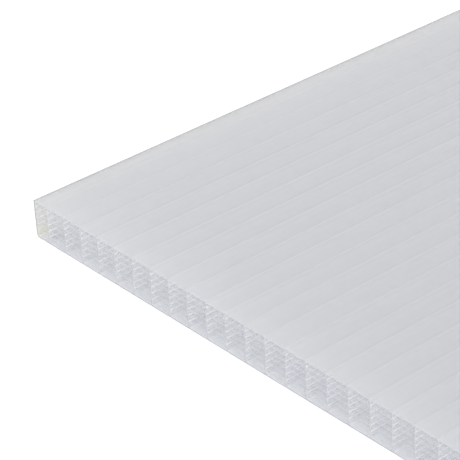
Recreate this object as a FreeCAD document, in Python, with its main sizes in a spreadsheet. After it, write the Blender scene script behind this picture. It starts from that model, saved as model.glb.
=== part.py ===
"""Seven-wall polycarbonate glazing sheet, extruded in one piece. Millimetres.

The sheet lies flat with its underside on Z = 0. X runs across the flutes, Y runs along them,
and the origin is the middle of the underside. Two outer skins and five thin inner walls are
tied together by upright ribs, so that the cut ends show rows of open flutes, and a plain wall
closes each long side.
"""

import FreeCAD, Part
import math
import os
import Sketcher
from types import SimpleNamespace

NODE = "multiwall_sheet"

# Each driving size: the cell that holds it, its value and what it measures.
SIZES = [
    ("sheet_width", 1050, "across the flutes, over both side walls"),
    ("sheet_length", 2000, "along the flutes, from one sawn end to the other"),
    ("sheet_thickness", 25, "over both outer skins"),
    ("wall_count", 7, "flat walls, the two outer skins among them"),
    ("rib_pitch", 16, "from the middle of one rib to the middle of the next"),
    ("outer_skin", 0.7, "thickness of the upper and lower skin"),
    ("inner_wall", 0.16, "thickness of each wall between the skins"),
    ("rib_wall", 0.45, "thickness of each upright rib"),
    ("side_wall", 0.8, "thickness of the wall that closes each long side"),
    ("upper_edge_round", 0.5, "outside radius of the two upper long edges"),
    ("lower_edge_round", 2, "outside radius of the two lower long edges"),
]

LOWER_LEFT, LOWER_RIGHT, UPPER_RIGHT, UPPER_LEFT = range(4)


class Size:
    """A number that keeps the expression it follows in the sheet of sizes."""

    def __init__(self, value, expression):
        self.value = value
        self.expression = expression

    def combined(self, sign, other, operation):
        if not isinstance(other, Size):
            other = Size(other, str(other))
        expression = f"({self.expression} {sign} {other.expression})"
        return Size(operation(self.value, other.value), expression)

    def __add__(self, other):
        return self.combined("+", other, lambda a, b: a + b)

    def __sub__(self, other):
        return self.combined("-", other, lambda a, b: a - b)

    def __mul__(self, other):
        return self.combined("*", other, lambda a, b: a * b)

    def __truediv__(self, other):
        return self.combined("/", other, lambda a, b: a / b)

    def __neg__(self):
        return Size(-self.value, f"(-{self.expression})")

    def rounded_up(self):
        return Size(math.ceil(self.value), f"ceil({self.expression})")


def size_sheet(doc):
    """The spreadsheet that every feature reads its sizes from."""
    sheet = doc.addObject("Spreadsheet::Sheet", "sizes")
    for row, (alias, value, meaning) in enumerate(SIZES, start=1):
        sheet.set(f"A{row}", alias)
        sheet.set(f"B{row}", str(value))
        sheet.setAlias(f"B{row}", alias)
        sheet.set(f"C{row}", meaning)
    doc.recompute()
    return sheet


def section_sizes(sheet):
    """The driving sizes by name, and those of the section that are worked out from them."""
    aliases = [alias for alias, _, _ in SIZES]
    s = SimpleNamespace(**{a: Size(float(sheet.get(a)), f"sizes.{a}") for a in aliases})
    s.rows = s.wall_count - 1
    inner_walls = s.inner_wall * (s.rows - 1)
    s.flute_height = (s.sheet_thickness - s.outer_skin * 2 - inner_walls) / s.rows
    s.row_pitch = s.flute_height + s.inner_wall
    s.columns = (s.sheet_width / s.rib_pitch).rounded_up() - 2
    s.flute_width = s.rib_pitch - s.rib_wall
    s.rib_field = s.columns * s.rib_pitch
    s.side_flute_width = (s.sheet_width - s.rib_field - s.rib_wall) / 2 - s.side_wall
    s.inner_edge_round = s.lower_edge_round - s.side_wall
    return s


def flute_floor(s, row):
    """The height of the lower face of the flutes in a row, counted up from 0."""
    return s.outer_skin + s.row_pitch * row


def origin_feature(body, role):
    return next(f for f in body.Origin.OriginFeatures if f.Role == role)


def section_sketch(body, name):
    """An empty sketch across the flutes: its own x is +X and its own y is +Z."""
    sketch = body.newObject("Sketcher::SketchObject", name)
    sketch.AttachmentSupport = [(origin_feature(body, "XZ_Plane"), "")]
    sketch.MapMode = "FlatFace"
    return sketch


def bound(sketch, name, kind, *places, size):
    """Adds a dimension that always follows its size."""
    index = sketch.addConstraint(Sketcher.Constraint(kind, *places, size.value))
    sketch.renameConstraint(index, name)
    sketch.setExpression(f"Constraints.{name}", size.expression)


def rectangle(sketch, name, left, floor, width, height, rounds=None):
    """Draws a closed rectangle from its lower left corner and binds it to its sizes.

    rounds gives the radius of each corner that is rounded.
    """
    rounds = rounds or {}
    x0, z0 = left.value, floor.value
    x1, z1 = x0 + width.value, z0 + height.value
    corners = [(x0, z0), (x1, z0), (x1, z1), (x0, z1)]
    headings = [(1, 0), (0, 1), (-1, 0), (0, -1)]
    reach = [rounds[c].value if c in rounds else 0 for c in range(4)]

    sides = []
    for c, (dx, dz) in enumerate(headings):
        ahead = (c + 1) % 4
        x, z = corners[c]
        next_x, next_z = corners[ahead]
        start = FreeCAD.Vector(x + dx * reach[c], z + dz * reach[c], 0)
        end = FreeCAD.Vector(next_x - dx * reach[ahead], next_z - dz * reach[ahead], 0)
        side = sketch.addGeometry(Part.LineSegment(start, end), False)
        sketch.addConstraint(Sketcher.Constraint("Horizontal" if dx else "Vertical", side))
        sides.append(side)

    for c, corner in enumerate(corners):
        before, after = sides[c - 1], sides[c]
        if c in rounds:
            arc = sketch.addGeometry(corner_arc(sketch, before, after, corner, reach[c]), False)
            sketch.addConstraint(Sketcher.Constraint("Tangent", before, 2, arc, 1))
            sketch.addConstraint(Sketcher.Constraint("Tangent", arc, 2, after, 1))
            bound(sketch, f"{name}_round_{c}", "Radius", arc, size=rounds[c])
        else:
            sketch.addConstraint(Sketcher.Constraint("Coincident", before, 2, after, 1))

    lower, right, upper, west = sides
    bound(sketch, f"{name}_width", "Distance", west, 1, right, size=width)
    bound(sketch, f"{name}_height", "Distance", upper, 1, lower, size=height)
    if x0 < 0:
        bound(sketch, f"{name}_left", "DistanceX", west, 1, -1, 1, size=-left)
    else:
        bound(sketch, f"{name}_left", "DistanceX", -1, 1, west, 1, size=left)
    if z0 > 0:
        bound(sketch, f"{name}_floor", "DistanceY", -1, 1, lower, 1, size=floor)
    else:
        sketch.addConstraint(Sketcher.Constraint("PointOnObject", lower, 1, -1))


def corner_arc(sketch, before, after, corner, radius):
    """The quarter circle that rounds a corner, run in the direction of the outline."""
    start = sketch.Geometry[before].EndPoint
    end = sketch.Geometry[after].StartPoint
    tip = FreeCAD.Vector(*corner, 0)
    centre = start + end - tip
    middle = centre + (tip - centre).normalize() * radius
    return Part.Arc(start, middle, end)


def pad_slab(body, s):
    """The full block of the sheet, with its four long edges rounded."""
    sketch = section_sketch(body, "slab_section")
    rounds = {
        LOWER_LEFT: s.lower_edge_round,
        LOWER_RIGHT: s.lower_edge_round,
        UPPER_RIGHT: s.upper_edge_round,
        UPPER_LEFT: s.upper_edge_round,
    }
    underside = Size(0, "0")
    rectangle(sketch, "slab", -s.sheet_width / 2, underside, s.sheet_width, s.sheet_thickness, rounds)
    pad = body.newObject("PartDesign::Pad", "slab")
    pad.Profile = sketch
    pad.Midplane = True
    pad.setExpression("Length", s.sheet_length.expression)


def pocket_through(body, sketch, name):
    """Cuts a sketch through the whole length, from one sawn end to the other."""
    pocket = body.newObject("PartDesign::Pocket", name)
    pocket.Profile = sketch
    pocket.Type = "ThroughAll"
    pocket.Midplane = True
    return pocket


def cut_side_flutes(body, s):
    """The outermost column at each long side. Its lowest flute follows the rounded edge."""
    sketch = section_sketch(body, "side_flute_section")
    sides = [
        ("left", -s.sheet_width / 2 + s.side_wall, LOWER_LEFT),
        ("right", (s.rib_field + s.rib_wall) / 2, LOWER_RIGHT),
    ]
    for row in range(int(s.rows.value)):
        for side, left, outer_corner in sides:
            rounds = {outer_corner: s.inner_edge_round} if row == 0 else None
            name = f"{side}_{row}"
            floor = flute_floor(s, row)
            rectangle(sketch, name, left, floor, s.side_flute_width, s.flute_height, rounds)
    pocket_through(body, sketch, "side_flutes")


def cut_flutes(body, s):
    """The flutes between ribs: one column is cut and repeated across the sheet."""
    sketch = section_sketch(body, "flute_section")
    left = -(s.rib_field - s.rib_wall) / 2
    for row in range(int(s.rows.value)):
        rectangle(sketch, f"flute_{row}", left, flute_floor(s, row), s.flute_width, s.flute_height)
    pocket = pocket_through(body, sketch, "flute_column")
    pattern = body.newObject("PartDesign::LinearPattern", "flute_columns")
    pattern.Originals = [pocket]
    pattern.Direction = (origin_feature(body, "X_Axis"), [""])
    pattern.Mode = "Spacing"
    pattern.setExpression("Offset", s.rib_pitch.expression)
    pattern.setExpression("Occurrences", s.columns.expression)
    body.Tip = pattern


def section_area(s):
    """The area of solid plastic across the flutes, worked out from the sizes alone."""
    corner_loss = 1 - math.pi / 4
    outer_rounds = s.lower_edge_round.value**2 + s.upper_edge_round.value**2
    slab = s.sheet_width.value * s.sheet_thickness.value - 2 * corner_loss * outer_rounds
    open_width = s.columns.value * s.flute_width.value + 2 * s.side_flute_width.value
    inner_rounds = 2 * corner_loss * s.inner_edge_round.value**2
    return slab - s.rows.value * open_width * s.flute_height.value + inner_rounds


def check(doc, body, s):
    """Stops the build if anything failed, or if a cut missed the solid."""
    for feature in doc.Objects:
        failed = [word for word in feature.State if word in ("Invalid", "Error")]
        if failed:
            raise RuntimeError(f"{feature.Name} is {failed}")
    shape = body.Shape
    if shape.isNull() or not shape.isValid() or len(shape.Solids) != 1:
        raise RuntimeError(f"{body.Label} is not one valid solid")
    expected = section_area(s) * s.sheet_length.value
    if abs(shape.Volume / expected - 1) > 1e-4:
        raise RuntimeError(f"volume is {shape.Volume:.0f} and not {expected:.0f}")


def main():
    doc = FreeCAD.newDocument("multiwall_sheet")
    s = section_sizes(size_sheet(doc))
    body = doc.addObject("PartDesign::Body", NODE)
    body.Label = NODE
    pad_slab(body, s)
    cut_side_flutes(body, s)
    cut_flutes(body, s)
    body.Placement = FreeCAD.Placement()
    doc.recompute()
    check(doc, body, s)
    os.makedirs("parts", exist_ok=True)
    body.Shape.exportStep(f"parts/{body.Label}.step")
    print(f"{body.Label}: {body.Shape.Volume / 1000:.0f} cm3, {len(body.Shape.Faces)} faces")


main()
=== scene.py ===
import math
import random
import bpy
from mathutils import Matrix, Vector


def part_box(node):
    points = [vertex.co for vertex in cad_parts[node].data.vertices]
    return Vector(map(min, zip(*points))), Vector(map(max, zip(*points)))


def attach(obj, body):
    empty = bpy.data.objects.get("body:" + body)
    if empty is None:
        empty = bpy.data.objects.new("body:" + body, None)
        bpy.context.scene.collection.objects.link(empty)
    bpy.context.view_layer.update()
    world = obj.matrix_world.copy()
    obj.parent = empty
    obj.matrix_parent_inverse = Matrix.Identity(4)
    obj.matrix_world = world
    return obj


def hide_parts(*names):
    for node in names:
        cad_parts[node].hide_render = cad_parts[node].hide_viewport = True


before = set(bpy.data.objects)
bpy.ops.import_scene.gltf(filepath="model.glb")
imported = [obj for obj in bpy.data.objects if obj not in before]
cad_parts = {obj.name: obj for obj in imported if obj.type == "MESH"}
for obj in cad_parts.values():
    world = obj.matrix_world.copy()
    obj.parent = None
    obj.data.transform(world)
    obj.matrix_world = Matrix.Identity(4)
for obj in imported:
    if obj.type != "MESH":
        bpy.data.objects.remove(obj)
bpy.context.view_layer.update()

from types import SimpleNamespace

import bpy
from mathutils import Matrix, Vector

MM = 0.001

# The sheet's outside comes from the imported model. Its section is the one that it was extruded
# to, in millimetres.
low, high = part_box("multiwall_sheet")
WIDTH, LENGTH, THICKNESS = ((b - a) / MM for a, b in zip(low, high))
RIB_PITCH = 16.0
WALLS = 7
OUTER_SKIN = 0.7
INNER_WALL = 0.16
RIB = 0.45
SIDE_WALL = 0.8
UPPER_EDGE_ROUND = 0.5
LOWER_EDGE_ROUND = 2.0

HALF_WIDTH = WIDTH / 2
ROWS = WALLS - 1
TOP_ROW = ROWS - 1
COLUMNS = math.ceil(WIDTH / RIB_PITCH)
LAST_COLUMN = COLUMNS - 1
RIBS = COLUMNS - 1
FIRST_RIB = -(RIBS - 1) * RIB_PITCH / 2
FLUTE_HEIGHT = (THICKNESS - 2 * OUTER_SKIN - (ROWS - 1) * INNER_WALL) / ROWS

# What the melt does as the sheet cools, in millimetres.
ROOT_ROUND = 1.0        # the fillet where a rib stands on a wall
HEAD_ROUND = 0.6        # and where it meets the wall above
RIB_GROOVE = 0.05       # how far a skin sinks along each rib, where the plastic is thickest
GROOVE_REACH = 1.2      # how fast that groove runs out to each side
SKIN_CROWN = 0.02       # how far a skin stands out between two ribs
WALL_BOW = 0.22         # how far a thin inner wall may bow between two ribs
LEAST_BOW = 0.3         # the share of that which the flattest wall has
BOW_LENGTH = 700.0      # along the flutes, from one bow to the next
BOW_SEED = 25

STATIONS = 9            # cross-sections from one sawn end to the other
SKIN_STEPS = (0.08, 0.2, 0.5, 0.8, 0.92)    # points across a skin's bay, between its fillets
WALL_STEPS = (0.25, 0.5, 0.75)              # and across an inner wall's

# The quarters of a circle, counter-clockwise, and the straight runs that one is drawn with.
UPPER_RIGHT, UPPER_LEFT, LOWER_LEFT, LOWER_RIGHT = range(4)
FILLET_STEPS = 2
UPPER_EDGE_STEPS = 4
LOWER_EDGE_STEPS = 8


def rib_at(n):
    """The middle of a rib, counted from 0 at the left."""
    return FIRST_RIB + n * RIB_PITCH


def flute(column, row):
    """The left, right, lower and upper limits of a flute."""
    left = -HALF_WIDTH + SIDE_WALL if column == 0 else rib_at(column - 1) + RIB / 2
    right = HALF_WIDTH - SIDE_WALL if column == LAST_COLUMN else rib_at(column) - RIB / 2
    floor = OUTER_SKIN + row * (FLUTE_HEIGHT + INNER_WALL)
    return left, right, floor, floor + FLUTE_HEIGHT


def quarter(centre_x, centre_z, radius, which, steps=FILLET_STEPS):
    """Points on a quarter of a circle, counter-clockwise."""
    angles = [(which + n / steps) * math.pi / 2 for n in range(steps + 1)]
    return [(centre_x + radius * math.cos(a), centre_z + radius * math.sin(a)) for a in angles]


def bay_places(left, right, wall):
    """Points across a bay, between the fillets at its two ribs."""
    steps = SKIN_STEPS if wall in (0, ROWS) else WALL_STEPS
    return [left + (right - left) * step for step in steps]


class Section:
    """Points, outline edges and faces of the sheet's cross-section.

    Each edge and face carries the name of the part of the sheet that it belongs to.
    """

    def __init__(self):
        self.points = []
        self.edges = []
        self.faces = []

    def add(self, places):
        first = len(self.points)
        self.points += places
        return list(range(first, len(self.points)))

    def outline(self, run, part):
        """Adds edges along a run of points, with the plastic to the right of it."""
        self.edges += [(a, b, part) for a, b in zip(run, run[1:])]

    def face(self, corners, part):
        self.faces.append((tuple(corners), part))

    def strip(self, upper, lower, part):
        for n in range(len(upper) - 1):
            self.face((lower[n], lower[n + 1], upper[n + 1], upper[n]), part)


def add_flute(section, column, row):
    """Adds a flute's outline. Returns its fillets, floor and ceiling as lists of points.

    The fillets go by bottom or top, and left or right: bl, br, tr and tl.
    """
    x0, x1, z0, z1 = flute(column, row)
    edge_round = LOWER_EDGE_ROUND - SIDE_WALL
    round_bl = edge_round if row == 0 and column == 0 else ROOT_ROUND
    round_br = edge_round if row == 0 and column == LAST_COLUMN else ROOT_ROUND
    r = HEAD_ROUND
    bl = section.add(quarter(x0 + round_bl, z0 + round_bl, round_bl, LOWER_LEFT))
    floor = section.add([(x, z0) for x in bay_places(x0 + round_bl, x1 - round_br, row)])
    br = section.add(quarter(x1 - round_br, z0 + round_br, round_br, LOWER_RIGHT))
    tr = section.add(quarter(x1 - r, z1 - r, r, UPPER_RIGHT))
    ceiling = section.add([(x, z1) for x in reversed(bay_places(x0 + r, x1 - r, row + 1))])
    tl = section.add(quarter(x0 + r, z1 - r, r, UPPER_LEFT))

    # In the lowest row, ribs and fillets take the lower skin's lighter finish: painted light that
    # lifts the dark hollows there.
    rib, root, lower = ("lower skin",) * 3 if row == 0 else ("rib", "root", "inner wall")
    upper = "upper skin" if row == TOP_ROW else "inner wall"
    left, left_root = ("side wall", "side wall") if column == 0 else (rib, root)
    right, right_root = ("side wall", "side wall") if column == LAST_COLUMN else (rib, root)
    section.outline([*bl[1:], *floor, *br[:-1]], lower)
    section.outline(br[-2:], right_root)
    section.outline([br[-1], *tr], right)
    section.outline([tr[-1], *ceiling, tl[0]], upper)
    section.outline([*tl, bl[0]], left)
    section.outline(bl[:2], left_root)
    return {
        "bl": bl, "br": br, "tr": tr, "tl": tl,
        "floor": [bl[-1], *floor, br[0]],
        "ceiling": [tl[0], *reversed(ceiling), tr[-1]],
    }


def draw_border(section, flutes):
    """Adds the outline of the sheet's outside. Returns its runs of points by where they lie."""
    points = section.points

    def level(indices, z):
        return section.add([(points[i][0], z) for i in indices])

    def plumb(indices, x):
        return section.add([(x, points[i][1]) for i in indices])

    first = [flutes[0, r] for r in range(ROWS)]
    last = [flutes[LAST_COLUMN, r] for r in range(ROWS)]
    top = [level(flutes[c, TOP_ROW]["ceiling"], THICKNESS) for c in range(COLUMNS)]
    bottom = [level(flutes[c, 0]["floor"], 0.0) for c in range(COLUMNS)]
    west = [plumb((f["bl"][0], f["tl"][-1]), -HALF_WIDTH) for f in first]
    east = [plumb((f["br"][-1], f["tr"][0]), HALF_WIDTH) for f in last]
    # Each side starts where the rounded lower edge ends.
    points[west[0][0]] = (-HALF_WIDTH, LOWER_EDGE_ROUND)
    points[east[0][0]] = (HALF_WIDTH, LOWER_EDGE_ROUND)
    over_rib = section.add([(rib_at(n), THICKNESS) for n in range(RIBS)])
    under_rib = section.add([(rib_at(n), 0.0) for n in range(RIBS)])

    up, lo = UPPER_EDGE_ROUND, LOWER_EDGE_ROUND
    x, z = HALF_WIDTH - up, THICKNESS - up
    tl = section.add(quarter(-x, z, up, UPPER_LEFT, UPPER_EDGE_STEPS))
    tr = section.add(quarter(x, z, up, UPPER_RIGHT, UPPER_EDGE_STEPS))
    x, z = HALF_WIDTH - lo, lo
    bl = section.add(quarter(-x, z, lo, LOWER_LEFT, LOWER_EDGE_STEPS)[1:-1])
    br = section.add(quarter(x, z, lo, LOWER_RIGHT, LOWER_EDGE_STEPS)[1:-1])

    top_face, underside = [*top[0]], [*bottom[0]]
    for n in range(RIBS):
        top_face += [over_rib[n], *top[n + 1]]
        underside += [under_rib[n], *bottom[n + 1]]
    section.outline(top_face, "upper skin")
    section.outline([top[-1][-1], *reversed(tr), east[-1][1]], "upper edge")
    section.outline([i for run in reversed(east) for i in reversed(run)], "side wall")
    section.outline([east[0][0], *reversed(br), bottom[-1][-1]], "side wall")
    section.outline(underside[::-1], "lower skin")
    section.outline([bottom[0][0], *reversed(bl), west[0][0]], "side wall")
    section.outline([i for run in west for i in run], "side wall")
    section.outline([west[-1][1], *reversed(tl), top[0][0]], "upper edge")
    return SimpleNamespace(
        top=top, bottom=bottom, west=west, east=east, over_rib=over_rib, under_rib=under_rib,
        tl=tl, tr=tr, bl=bl, br=br)


def fill_walls(section, flutes, border):
    """Adds the sawn faces of the skins, the inner walls, the ribs and the side walls."""
    for c in range(COLUMNS):
        section.strip(border.top[c], flutes[c, TOP_ROW]["ceiling"], "sawn skin")
        section.strip(flutes[c, 0]["floor"], border.bottom[c], "sawn skin")
        for r in range(1, ROWS):
            section.strip(flutes[c, r]["floor"], flutes[c, r - 1]["ceiling"], "sawn wall")
    for r in range(ROWS):
        for c in range(1, COLUMNS):
            a, b = flutes[c - 1, r], flutes[c, r]
            section.face((a["br"][-1], b["bl"][0], b["tl"][-1], a["tr"][0]), "sawn wall")
        a, b = flutes[0, r], flutes[LAST_COLUMN, r]
        west, east = border.west[r], border.east[r]
        section.face((west[0], a["bl"][0], a["tl"][-1], west[1]), "sawn side")
        section.face((b["br"][-1], east[0], east[1], b["tr"][0]), "sawn side")


def fill_joins(section, flutes, border):
    """Adds the sawn faces of the lumps of plastic where ribs and side walls meet the others."""
    top, bottom, west, east = border.top, border.bottom, border.west, border.east
    for c in range(1, COLUMNS):
        for r in range(ROWS + 1):
            lump = []
            if r < ROWS:
                lump += reversed(flutes[c, r]["bl"])
                lump += reversed(flutes[c - 1, r]["br"])
            else:
                lump += [top[c][0], border.over_rib[c - 1], top[c - 1][-1]]
            if r > 0:
                lump += reversed(flutes[c - 1, r - 1]["tr"])
                lump += reversed(flutes[c, r - 1]["tl"])
            else:
                lump += [bottom[c - 1][-1], border.under_rib[c - 1], bottom[c][0]]
            section.face(lump, "sawn skin" if r in (0, ROWS) else "sawn wall")
    for r in range(1, ROWS):
        a, b = flutes[0, r], flutes[0, r - 1]
        section.face(
            (*reversed(a["bl"]), west[r][0], west[r - 1][1], *reversed(b["tl"])), "sawn side")
        a, b = flutes[LAST_COLUMN, r], flutes[LAST_COLUMN, r - 1]
        section.face(
            (*reversed(a["br"]), *reversed(b["tr"]), east[r - 1][1], east[r][0]), "sawn side")


def fill_long_edges(section, flutes, border):
    """Adds the sawn faces of the four long edges, between their rounds and the nearest flute."""
    top, bottom, west, east = border.top, border.bottom, border.west, border.east
    tl, tr = flutes[0, TOP_ROW]["tl"], flutes[LAST_COLUMN, TOP_ROW]["tr"]
    bl, br = flutes[0, 0]["bl"], flutes[LAST_COLUMN, 0]["br"]
    section.face((top[0][0], *border.tl, west[-1][1], *reversed(tl)), "sawn side")
    section.face((*border.tr, top[-1][-1], *reversed(tr), east[-1][1]), "sawn side")
    section.face((west[0][0], *border.bl, bottom[0][0], *reversed(bl)), "sawn side")
    section.face((bottom[-1][-1], *border.br, east[0][0], *reversed(br)), "sawn side")


def draw_section():
    """The whole cross-section: its outlines, and the faces of plastic between them."""
    section = Section()
    flutes = {(c, r): add_flute(section, c, r) for c in range(COLUMNS) for r in range(ROWS)}
    border = draw_border(section, flutes)
    fill_walls(section, flutes, border)
    fill_joins(section, flutes, border)
    fill_long_edges(section, flutes, border)
    return section


def across_bay(x):
    """The bay that x lies in, and how far x is from the rib or side wall at each end of it."""
    column = min(max(math.floor((x - FIRST_RIB) / RIB_PITCH) + 1, 0), LAST_COLUMN)
    left = -HALF_WIDTH if column == 0 else rib_at(column - 1)
    right = HALF_WIDTH if column == LAST_COLUMN else rib_at(column)
    return column, x - left, right - x


def settle(places, stations):
    """The section's places at each station, with the skins and the inner walls as they cooled."""
    draw = random.Random(BOW_SEED)
    bows = {
        (c, w): (draw.uniform(LEAST_BOW, 1.0) * WALL_BOW, draw.uniform(0, 2 * math.pi))
        for c in range(COLUMNS) for w in range(1, ROWS)
    }
    wall_pitch = (THICKNESS - OUTER_SKIN) / ROWS
    moves = []
    for x, z in places:
        column, before, beyond = across_bay(x)
        wall = round((z - OUTER_SKIN / 2) / wall_pitch)
        arch = math.sin(math.pi * before / (before + beyond))
        # A side wall makes no groove.
        to_rib = [d for d, side in ((before, 0), (beyond, LAST_COLUMN)) if column != side]
        groove = math.exp(-min(to_rib) / GROOVE_REACH)
        drop = RIB_GROOVE * groove + SKIN_CROWN * (1 - arch)
        moves.append((x, z, column, wall, arch, drop))
    settled = []
    for y in stations:
        for x, z, column, wall, arch, drop in moves:
            if wall == ROWS:
                z -= drop
            elif wall == 0:
                z += drop
            else:
                reach, phase = bows[column, wall]
                z += reach * arch * math.sin(2 * math.pi * y / BOW_LENGTH + phase)
            settled.append((x * MM, y * MM, z * MM))
    return settled


def extrude_sheet(materials):
    """The whole sheet as one closed mesh, from one sawn end to the other."""
    section = draw_section()
    count = len(section.points)
    stations = [LENGTH * (n / (STATIONS - 1) - 0.5) for n in range(STATIONS)]
    parts = list(materials)
    faces, slots = [], []
    for n in range(STATIONS - 1):
        near, far = n * count, (n + 1) * count
        for a, b, part in section.edges:
            faces.append((near + a, near + b, far + b, far + a))
            slots.append(parts.index(part))
    extruded = len(faces)
    last = (STATIONS - 1) * count
    for corners, part in section.faces:
        faces.append(corners)
        faces.append(tuple(last + i for i in reversed(corners)))
        slots += [parts.index(part)] * 2

    mesh = bpy.data.meshes.new("sheet")
    mesh.from_pydata(settle(section.points, stations), [], faces)
    mesh.polygons.foreach_set("material_index", slots)
    mesh.polygons.foreach_set("use_smooth", [n < extruded for n in range(len(faces))])
    # The sawn ends have sharp edges.
    for edge in mesh.edges:
        a, b = edge.vertices
        edge.use_edge_sharp = (a < count and b < count) or (a >= last and b >= last)
    for part in parts:
        mesh.materials.append(materials[part])
    mesh.validate()
    sheet = bpy.data.objects.new("glazing_sheet", mesh)
    bpy.context.scene.collection.objects.link(sheet)
    flat = sheet.modifiers.new("flat_walls", "WEIGHTED_NORMAL")
    flat.keep_sharp = True
    return sheet


def colour(code):
    """An sRGB hex colour as linear light."""
    channels = [int(code[n:n + 2], 16) / 255 for n in (1, 3, 5)]
    return [c / 12.92 if c <= 0.04045 else ((c + 0.055) / 1.055) ** 2.4 for c in channels] + [1]


def add(tree, kind, settings=None, links=None):
    """Adds a node, sets its properties, sockets and colour steps, and links outputs to it."""
    node = tree.nodes.new(kind)
    for name, value in (settings or {}).items():
        if name == "steps":
            stops = node.color_ramp.elements
            stops.remove(stops[1])
            for place, code in value:
                stop = stops.new(place) if place else stops[0]
                stop.color = colour(code)
        elif isinstance(name, int) or name in node.inputs:
            node.inputs[name].default_value = value
        else:
            setattr(node, name, value)
    for name, output in (links or {}).items():
        tree.links.new(output, node.inputs[name])
    return node


def new_material(name):
    material = bpy.data.materials.new(name)
    material.use_nodes = True
    material.node_tree.nodes.clear()
    return material, material.node_tree


POLYCARBONATE_IOR = 1.585

# Roughness, at the glossiest and at the mattest places of a pattern.
EXTRUDED_ROUGHNESS = (0.11, 0.19)
INSIDE_ROUGHNESS = (0.15, 0.25)
SAWN_ROUGHNESS = (0.42, 0.6)

# The lines that the die leaves along the sheet. Real ones are finer than a hair. They are drawn
# 2 mm wide so that they show.
DIE_LINE = (2.0, 900.0, 2.0)
DIE_LINE_DEPTH = 0.01 * MM
DIE_LINE_SHADE = 0.01

# A fine saw's tooth marks, some 0.3 mm apart. They are drawn 0.9 mm apart so that they show.
TOOTH_MARK = (0.9, 40.0, 9.0)
TOOTH_MARK_DEPTH = 0.04 * MM
TOOTH_MARK_SHADE = 0.05

# Clouding where the melt cooled unevenly, in patches some 5 mm across.
CLOUD = (5.0, 60.0, 5.0)

# How far in from the long edges the painted lines of light and shade over the ribs start to
# show, and show in full, in millimetres.
LINES_START = 13.0
LINES_FULL = 50.0

# How far up a sawn end the painted shade on its lower skin, where the sheet meets the floor,
# goes in full, and where it ends, in millimetres.
FLOOR_SHADE_FULL = 0.75
FLOOR_SHADE_END = 1.5


def grain(tree, size, detail):
    """A pattern that lies still on the sheet. The size of one grain of it is in millimetres
    across, along and up the sheet."""
    place = add(tree, "ShaderNodeTexCoord")
    drawn = add(tree, "ShaderNodeMapping", {"Scale": [1 / (side * MM) for side in size]}, {
        "Vector": place.outputs["Object"]})
    noise = add(tree, "ShaderNodeTexNoise", {"Scale": 1.0, "Detail": detail}, {
        "Vector": drawn.outputs[0]})
    return noise.outputs[0]


def shaded(tree, tint, pattern, swing):
    """A tint that a pattern makes darker and lighter by swing."""
    shade = add(tree, "ShaderNodeMapRange", {
        "To Min": 1 - swing, "To Max": 1 + swing}, {"Value": pattern})
    streaked = add(tree, "ShaderNodeHueSaturation", links={
        "Value": shade.outputs[0], "Color": tint})
    return streaked.outputs[0]


def height_in_sheet(tree):
    """0 at the underside and 1 at the top face."""
    place = add(tree, "ShaderNodeTexCoord")
    split = add(tree, "ShaderNodeSeparateXYZ", links={0: place.outputs["Object"]})
    height = add(tree, "ShaderNodeMapRange", {
        "From Max": THICKNESS * MM}, {"Value": split.outputs["Z"]})
    return height.outputs[0]


def polycarbonate(tree, opacity, tint, pattern, roughness, depth=0.0):
    """The finish itself: glossy plastic that stops a share of the light and lets the rest by.

    The pattern turns its roughness from the first value to the second, and stands out by depth.
    """
    glossy, matt = roughness
    gloss = add(tree, "ShaderNodeMapRange", {"To Min": glossy, "To Max": matt}, {
        "Value": pattern})
    links = {"Base Color": tint, "Roughness": gloss.outputs[0]}
    if depth:
        bump = add(tree, "ShaderNodeBump", {"Distance": depth}, {"Height": pattern})
        links["Normal"] = bump.outputs[0]
    surface = add(tree, "ShaderNodeBsdfPrincipled", {
        "IOR": POLYCARBONATE_IOR, "Alpha": opacity}, links)
    add(tree, "ShaderNodeOutputMaterial", links={0: surface.outputs[0]})


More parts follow.
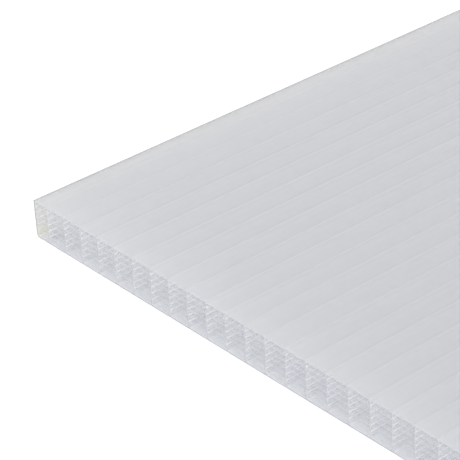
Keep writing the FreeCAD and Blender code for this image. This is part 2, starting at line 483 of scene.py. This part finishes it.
def extruded_skin(name, opacity, over_rib, painted_light_near_rib, mid_bay, painted_shade_beside_rib):
    """Extruded polycarbonate, milky and glossy: an outer skin.

    Each rib shows as a lighter line, partly where the plastic is thickest and partly painted
    light for the rib's lit face seen through the skin, with a darker line beside it that is a
    painted shadow. Across each bay the colour goes from lighter by one rib to darker by the next:
    painted shade of the lamps on the crowned skin. These painted lines fade out towards the long
    edges. Die lines run along the sheet.
    """
    material, tree = new_material(name)
    place = add(tree, "ShaderNodeTexCoord")
    split = add(tree, "ShaderNodeSeparateXYZ", links={0: place.outputs["Object"]})
    along = add(tree, "ShaderNodeMath", {
        "operation": "SUBTRACT", 1: FIRST_RIB * MM}, {0: split.outputs["X"]})
    bays = add(tree, "ShaderNodeMath", {
        "operation": "DIVIDE", 1: RIB_PITCH * MM}, {0: along.outputs[0]})
    across = add(tree, "ShaderNodeMath", {"operation": "FRACT"}, {0: bays.outputs[0]})
    # The steps run from the middle of one rib, at 0, to the middle of the next, at 1: a lighter
    # line over the rib, partly painted light, painted light fading to painted shade across the
    # bay, and a painted shadow beside the next rib.
    painted_rib_light_and_shade = add(tree, "ShaderNodeValToRGB", {"steps": [
        (0.0, over_rib), (0.04, over_rib), (0.11, painted_light_near_rib), (0.5, mid_bay), (0.8, mid_bay),
        (0.86, painted_shade_beside_rib), (0.93, painted_shade_beside_rib), (0.965, over_rib),
    ]}, {0: across.outputs[0]})
    off_middle = add(tree, "ShaderNodeMath", {"operation": "ABSOLUTE"}, {0: split.outputs["X"]})
    fade = add(tree, "ShaderNodeMapRange", {
        "From Min": (HALF_WIDTH - LINES_FULL) * MM, "From Max": (HALF_WIDTH - LINES_START) * MM,
    }, {"Value": off_middle.outputs[0]})
    # A mix of two colours takes them at its sockets 6 and 7, and gives its own as output 2.
    faded = add(tree, "ShaderNodeMix", {"data_type": "RGBA", 7: colour(mid_bay)}, {
        0: fade.outputs[0], 6: painted_rib_light_and_shade.outputs[0]})
    lines = grain(tree, DIE_LINE, detail=1.0)
    tint = shaded(tree, faded.outputs[2], lines, DIE_LINE_SHADE)
    polycarbonate(tree, opacity, tint, lines, EXTRUDED_ROUGHNESS, DIE_LINE_DEPTH)
    return material


def extruded_edge(name, opacity):
    """Extruded polycarbonate, glossy: the upper long edges, nearly opaque where so much of it
    lies in line, and painted dark grey as painted shade for the darker rim of the sheet's
    outline."""
    material, tree = new_material(name)
    lines = grain(tree, DIE_LINE, detail=1.0)
    tint = add(tree, "ShaderNodeValToRGB", {"steps": [
        (0.0, "#B7BAC0"), (1.0, "#BFC2C8")]}, {0: lines})
    polycarbonate(tree, opacity, tint.outputs[0], lines, EXTRUDED_ROUGHNESS, DIE_LINE_DEPTH)
    return material


def extruded_side(name, opacity):
    """Extruded polycarbonate, milky and glossy: the side walls, a little yellow low down where
    the plastic is thick, and lighter towards the bottom than at the top: painted light for what
    the side wall lets into the lowest flutes."""
    material, tree = new_material(name)
    tint = add(tree, "ShaderNodeValToRGB", {"steps": [
        (0.0, "#E4E6CE"), (0.2, "#E7E8D9"), (0.36, "#E0E0DE"), (1.0, "#D5D5D5"),
    ]}, {0: height_in_sheet(tree)})
    lines = grain(tree, DIE_LINE, detail=1.0)
    polycarbonate(tree, opacity, tint.outputs[0], lines, EXTRUDED_ROUGHNESS, DIE_LINE_DEPTH)
    return material


def extruded_inside(name, opacity, thin, thick):
    """Extruded polycarbonate inside the sheet: glossy, and clouded unevenly."""
    material, tree = new_material(name)
    clouds = grain(tree, CLOUD, detail=0.0)
    tint = add(tree, "ShaderNodeValToRGB", {"steps": [(0.0, thin), (1.0, thick)]}, {0: clouds})
    polycarbonate(tree, opacity, tint.outputs[0], clouds, INSIDE_ROUGHNESS)
    return material


def sawn_end(name, opacity, floor_shaded, above):
    """Sawn polycarbonate: matt, with upright tooth marks, and whitened by the saw unless it is
    painted darker. The skin that the sheet lies on is painted darker than what is above it:
    painted shade where the sheet meets the floor."""
    material, tree = new_material(name)
    body = add(tree, "ShaderNodeValToRGB", {"steps": [
        (0.0, floor_shaded), (FLOOR_SHADE_FULL / THICKNESS, floor_shaded), (FLOOR_SHADE_END / THICKNESS, above),
    ]}, {0: height_in_sheet(tree)})
    marks = grain(tree, TOOTH_MARK, detail=2.0)
    tint = shaded(tree, body.outputs[0], marks, TOOTH_MARK_SHADE)
    polycarbonate(tree, opacity, tint, marks, SAWN_ROUGHNESS, TOOTH_MARK_DEPTH)
    return material


# The number after each name is the share of the light that the surface stops. Milkiness goes
# with thickness, so the skins and the fillets are milky and the thin walls inside are nearly
# clear. The saw whitens what it cuts.
materials = {
    "upper skin": extruded_skin(
        "polycarbonate_extruded_upper_skin", 0.35, "#EEF0F4", "#E6E8EC", "#E4E6EA", "#E1E3E7"),
    # The lower skin is a lighter copy of the upper one: painted light for the floor's light that
    # shows through it.
    "lower skin": extruded_skin(
        "polycarbonate_lower_skin_painted_light", 0.35, "#F6F7FA", "#F0F1F5", "#F0F1F5", "#EEEFF3"),
    "upper edge": extruded_edge("polycarbonate_edge_painted_dark_rim", 0.85),
    "side wall": extruded_side("polycarbonate_extruded_side", 0.5),
    "rib": extruded_inside("polycarbonate_extruded_rib", 0.2, "#F4F7FB", "#F8FAFF"),
    # The fillets are whiter and more opaque: partly the thicker plastic, partly painted highlight
    # for the light that they gather.
    "root": extruded_inside("polycarbonate_extruded_root", 0.7, "#FCFCFE", "#FFFFFF"),
    "inner wall": extruded_inside("polycarbonate_extruded_wall", 0.15, "#F8FAFD", "#FCFDFF"),
    "sawn skin": sawn_end("polycarbonate_sawn_skin", 0.8, "#C3C6CD", "#E7E9EE"),
    # The sawn sides and long edges are painted dark grey, not whitened: painted shade for the
    # darker rim of the sheet's outline.
    "sawn side": sawn_end("polycarbonate_sawn_side_painted_dark_rim", 0.9, "#B0B2B6", "#B0B2B6"),
    "sawn wall": sawn_end("polycarbonate_sawn_wall", 0.4, "#F8FAFE", "#F8FAFE"),
}
sheet = extrude_sheet(materials)
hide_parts("multiwall_sheet")
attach(sheet, "root")

# The photograph's camera looks down on the left corner of the near sawn end.
AIM = Vector((-0.4159, -0.9415, 0.025))
AZIMUTH = math.radians(141.1)
ELEVATION = math.radians(30.73)
ROLL = math.radians(-3.45)
DISTANCE = 1.268
LENS = 174.8            # millimetres, as the width of the film is
FILM_WIDTH = 36
VIEW_REACH = 100        # metres


def place_camera():
    forward = Vector((
        math.cos(ELEVATION) * math.cos(AZIMUTH),
        math.cos(ELEVATION) * math.sin(AZIMUTH),
        -math.sin(ELEVATION),
    ))
    right = forward.cross(Vector((0, 0, 1))).normalized()
    up = right.cross(forward)
    rolled_right = right * math.cos(ROLL) + up * math.sin(ROLL)
    rolled_up = up * math.cos(ROLL) - right * math.sin(ROLL)
    data = bpy.data.cameras.new("camera")
    data.lens = LENS
    data.sensor_width = FILM_WIDTH
    data.clip_end = VIEW_REACH
    camera = bpy.data.objects.new("camera", data)
    turn = Matrix((rolled_right, rolled_up, -forward)).transposed()
    camera.matrix_world = Matrix.Translation(AIM - forward * DISTANCE) @ turn.to_4x4()
    bpy.context.scene.collection.objects.link(camera)
    bpy.context.scene.camera = camera


FLOOR_REACH = 12.0
FLOOR_GAP = 0.0001      # keeps the floor clear of the underside
FLOOR_LIFT = 0.3        # added to what is seen of the floor, so that it runs into the backdrop
ROOM_LIGHT = 0.58


def seen(tree):
    """1 for what the camera sees, straight, in gloss or through something clear, and else 0."""
    path = add(tree, "ShaderNodeLightPath")
    straight_or_gloss = add(tree, "ShaderNodeMath", {"operation": "MAXIMUM"}, {
        0: path.outputs["Is Camera Ray"], 1: path.outputs["Is Glossy Ray"]})
    either = add(tree, "ShaderNodeMath", {"operation": "MAXIMUM"}, {
        0: straight_or_gloss.outputs[0], 1: path.outputs["Is Transmission Ray"]})
    return either.outputs[0]


def lay_floor():
    """A plain floor, painted white, that keeps the sheet's shadow."""
    r = FLOOR_REACH
    mesh = bpy.data.meshes.new("floor")
    mesh.from_pydata([(-r, -r, 0), (r, -r, 0), (r, r, 0), (-r, r, 0)], [], [(0, 1, 2, 3)])
    material, tree = new_material("painted_floor")
    paint = add(tree, "ShaderNodeBsdfDiffuse", {"Color": colour("#F0F0F0")})
    lift = add(tree, "ShaderNodeMath", {"operation": "MULTIPLY", 1: FLOOR_LIFT}, {0: seen(tree)})
    glow = add(tree, "ShaderNodeEmission", links={"Strength": lift.outputs[0]})
    both = add(tree, "ShaderNodeAddShader", links={0: paint.outputs[0], 1: glow.outputs[0]})
    add(tree, "ShaderNodeOutputMaterial", links={0: both.outputs[0]})
    mesh.materials.append(material)
    floor = bpy.data.objects.new("floor", mesh)
    floor.location.z = -FLOOR_GAP
    bpy.context.scene.collection.objects.link(floor)


def light_room():
    """A plain bright room, whose walls look white."""
    world = bpy.data.worlds.new("room")
    bpy.context.scene.world = world
    world.use_nodes = True
    tree = world.node_tree
    tree.nodes.clear()
    walls = colour("#FFFFFF")
    plain = add(tree, "ShaderNodeBackground", {"Color": walls, "Strength": ROOM_LIGHT})
    white = add(tree, "ShaderNodeBackground", {"Color": walls, "Strength": 1.0})
    mix = add(tree, "ShaderNodeMixShader", links={
        0: seen(tree), 1: plain.outputs[0], 2: white.outputs[0]})
    add(tree, "ShaderNodeOutputWorld", links={0: mix.outputs[0]})


def hang_softbox(name, towards, away, size, power, tint):
    """A large soft lamp, hung away from the middle of the picture and turned to it."""
    data = bpy.data.lights.new(name, "AREA")
    data.shape = "SQUARE"
    data.size = size
    data.energy = power
    data.color = colour(tint)[:3]
    softbox = bpy.data.objects.new(name, data)
    direction = Vector(towards).normalized()
    softbox.location = AIM + direction * away
    softbox.rotation_euler = direction.to_track_quat("Z", "Y").to_euler()
    bpy.context.scene.collection.objects.link(softbox)


place_camera()
lay_floor()
light_room()
hang_softbox("right_softbox", (0.62, -0.45, 0.64), away=6.0, size=3.0, power=140, tint="#FFFFFF")
hang_softbox("left_softbox", (-0.55, 0.1, 0.83), away=1.75, size=1.0, power=9.2, tint="#FFFAF3")

scene = bpy.context.scene
scene.view_settings.view_transform = "Standard"
# Light passes through many thin walls, and is passed on between them many times.
scene.cycles.transparent_max_bounces = 48
scene.cycles.max_bounces = 24
scene.cycles.diffuse_bounces = 16
